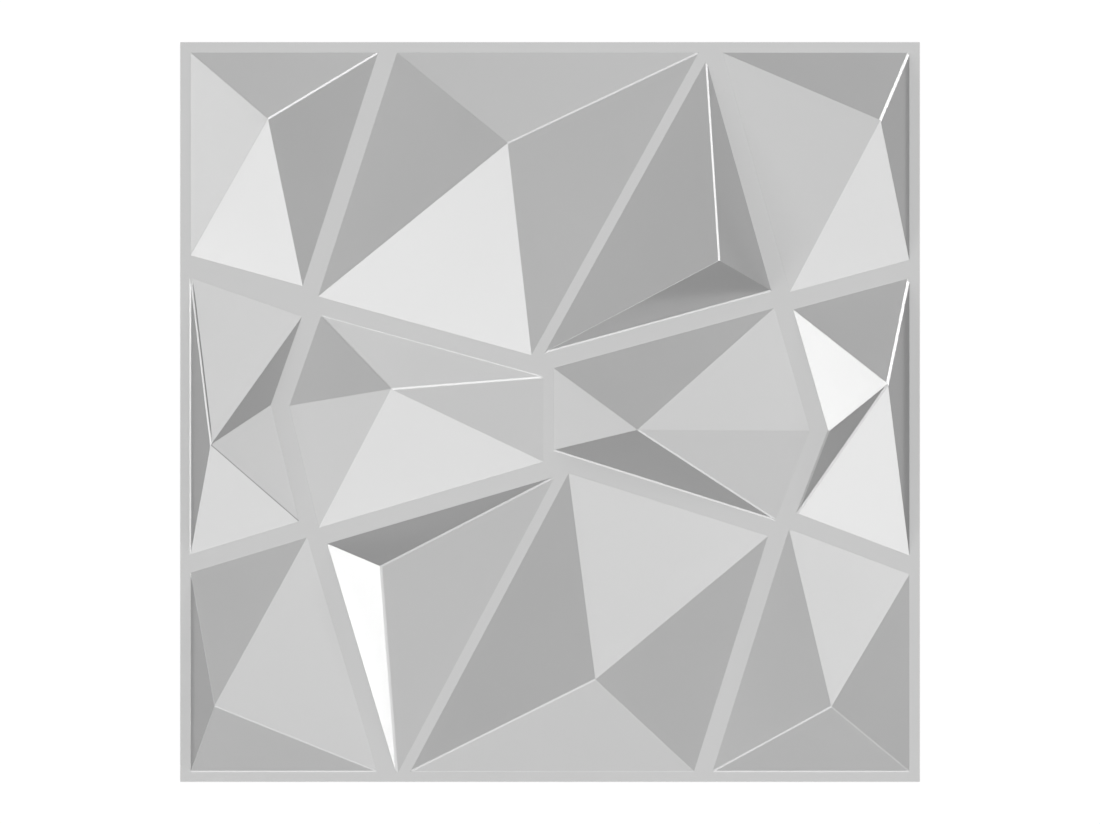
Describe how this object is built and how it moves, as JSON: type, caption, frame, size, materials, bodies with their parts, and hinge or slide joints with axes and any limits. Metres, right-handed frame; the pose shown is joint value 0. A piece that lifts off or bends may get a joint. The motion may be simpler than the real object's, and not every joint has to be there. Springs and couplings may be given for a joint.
{
  "type": "3d wall panel tile",
  "caption": "Square decorative wall panel formed in one thin sheet, with a flat rim, flat straps and off-centre pyramid facets that are hollow behind.",
  "frame": {"origin": "middle of the tile's back, on the plane that lies against the wall", "axes": "+Z out of the decorated face, +Y to the top edge and +X to the right edge of the tile as it hangs in the picture"},
  "size_m": [0.5, 0.5, 0.03],
  "materials": {
    "panel_plastic": "satin light grey PVC sheet"
  },
  "bodies": {
    "root": {"wall_panel": "panel_plastic"}
  },
  "joints": []
}
